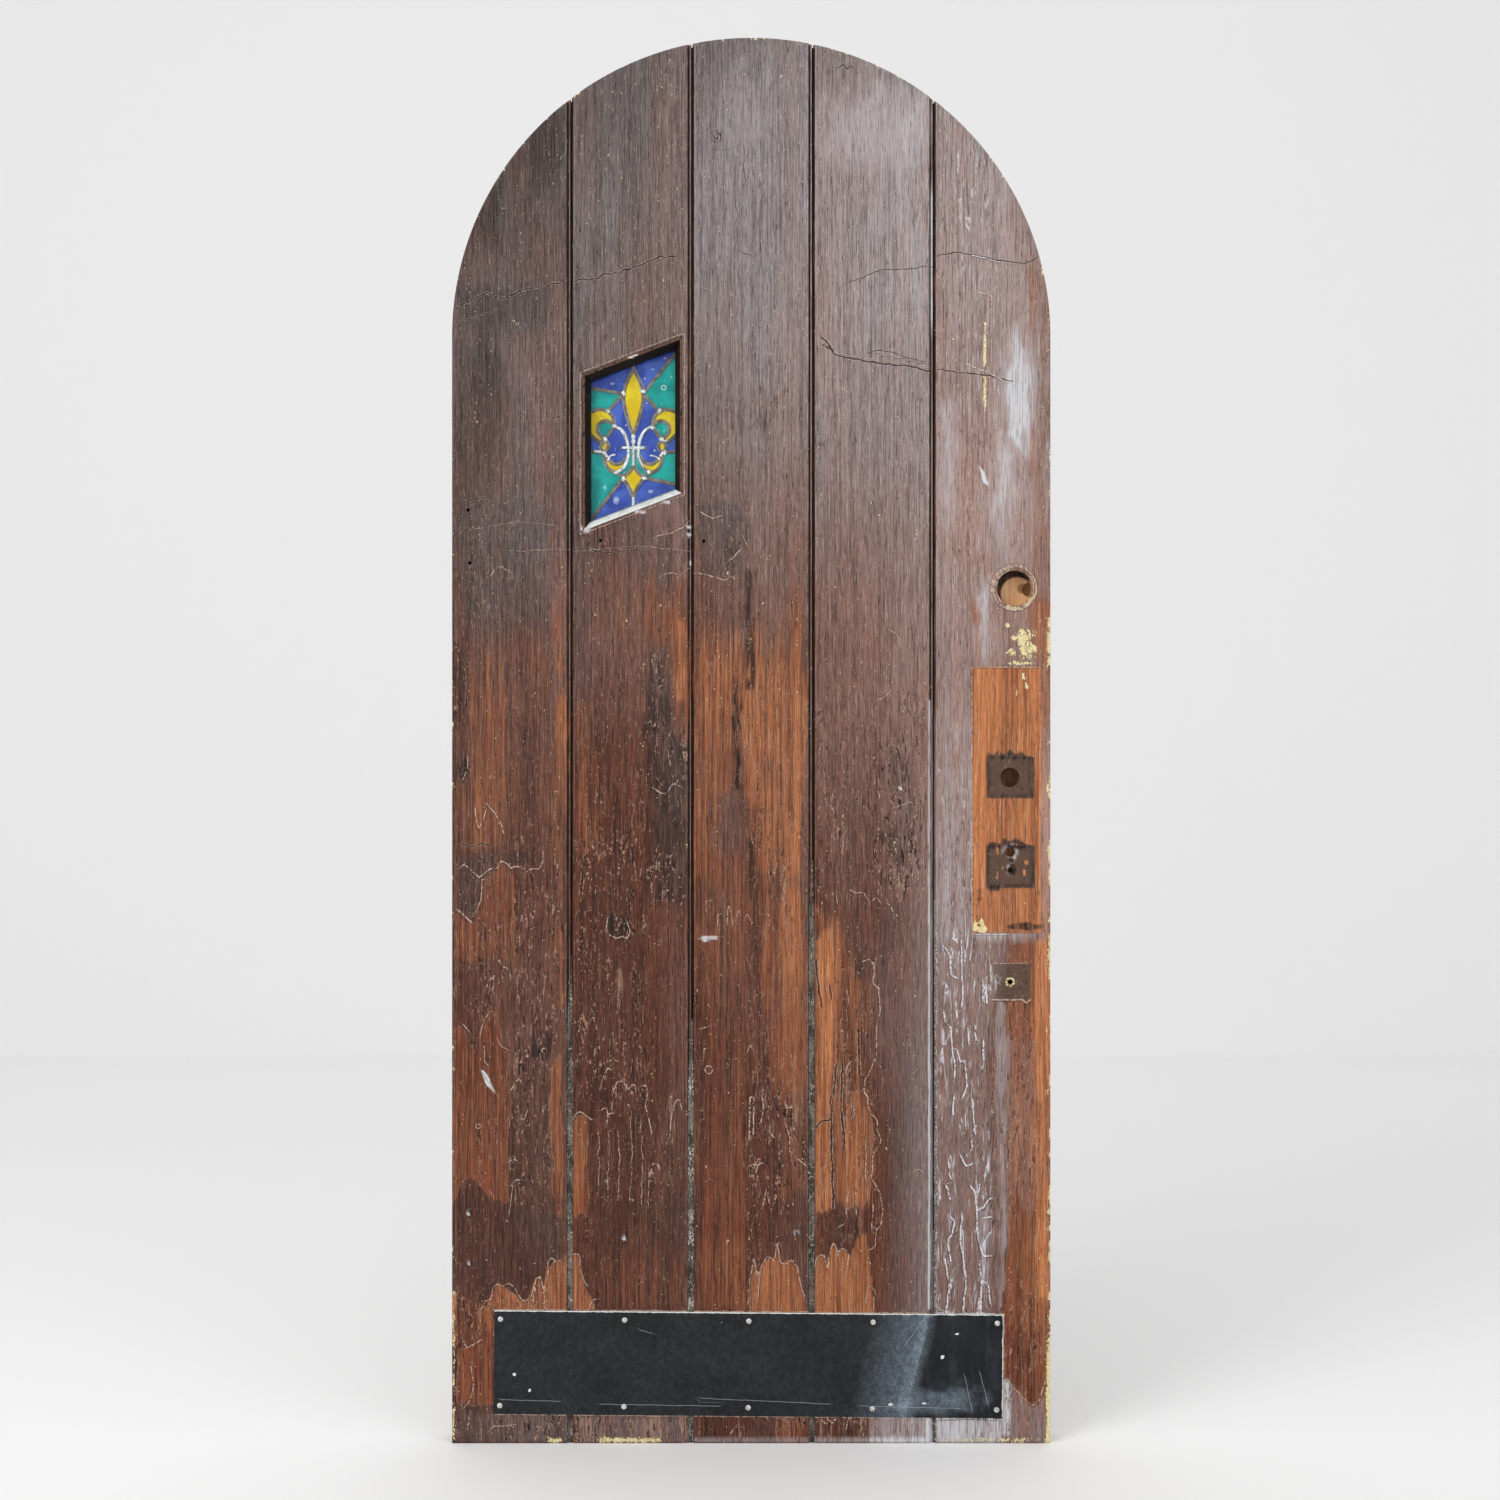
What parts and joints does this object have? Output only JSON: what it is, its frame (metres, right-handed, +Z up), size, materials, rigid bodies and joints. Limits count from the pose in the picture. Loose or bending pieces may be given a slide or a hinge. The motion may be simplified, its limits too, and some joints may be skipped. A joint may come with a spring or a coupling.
{
  "type": "arched plank front door leaf with a leaded stained glass light",
  "caption": "Round-headed front door leaf of beaded tongue-and-groove planks with a small leaning leaded stained glass light, bored lock edge and kick plate.",
  "frame": {"origin": "on the flat floor of the middle hinge gain in the hinge edge, 900 mm above the foot and at half the leaf's thickness", "axes": "+Z up, +X from the hinge edge to the lock edge, -Y out of the outside face, so -X leaves the hinge edge"},
  "size_m": [0.914, 0.0491, 2.146],
  "materials": {
    "plank": "worn dark varnish over orange-brown wood",
    "stop": "dark worn varnish",
    "white_paint": "white paint on wood",
    "lead": "dull lead with bright solder",
    "blue_glass": "blue stained glass",
    "green_glass": "sea-green stained glass",
    "yellow_glass": "yellow stained glass",
    "kick_plate": "black, worn and hazed",
    "screw": "plain steel"
  },
  "bodies": {
    "root": {"diamond_pane": "yellow_glass", "kick_plate": "kick_plate", "lead_cames": "lead", "left_breast_pane": "blue_glass", "left_curl_pane": "yellow_glass", "left_edge_pane": "blue_glass", "left_eye_pane": "green_glass", "left_flank_pane": "green_glass", "left_foot_pane": "blue_glass", "left_head_pane": "blue_glass", "left_heart_pane": "blue_glass", "left_shoulder_pane": "green_glass", "left_tail_pane": "yellow_glass", "left_throat_pane": "green_glass", "left_volute_pane": "yellow_glass", "left_window_stop": "stop", "lower_kick_screw_1": "screw", "lower_kick_screw_2": "screw", "lower_kick_screw_3": "screw", "lower_kick_screw_4": "screw", "lower_kick_screw_5": "screw", "petal_pane": "yellow_glass", "plank_1": "plank", "plank_2": "plank", "plank_3": "plank", "plank_4": "plank", "plank_5": "plank", "right_breast_pane": "blue_glass", "right_curl_pane": "yellow_glass", "right_edge_pane": "blue_glass", "right_eye_pane": "green_glass", "right_flank_pane": "green_glass", "right_foot_pane": "blue_glass", "right_head_pane": "blue_glass", "right_heart_pane": "blue_glass", "right_shoulder_pane": "green_glass", "right_tail_pane": "yellow_glass", "right_throat_pane": "green_glass", "right_volute_pane": "yellow_glass", "right_window_stop": "stop", "top_window_stop": "stop", "upper_kick_screw_1": "screw", "upper_kick_screw_2": "screw", "upper_kick_screw_3": "screw", "upper_kick_screw_4": "screw", "upper_kick_screw_5": "screw", "window_sill": "white_paint"}
  },
  "joints": []
}
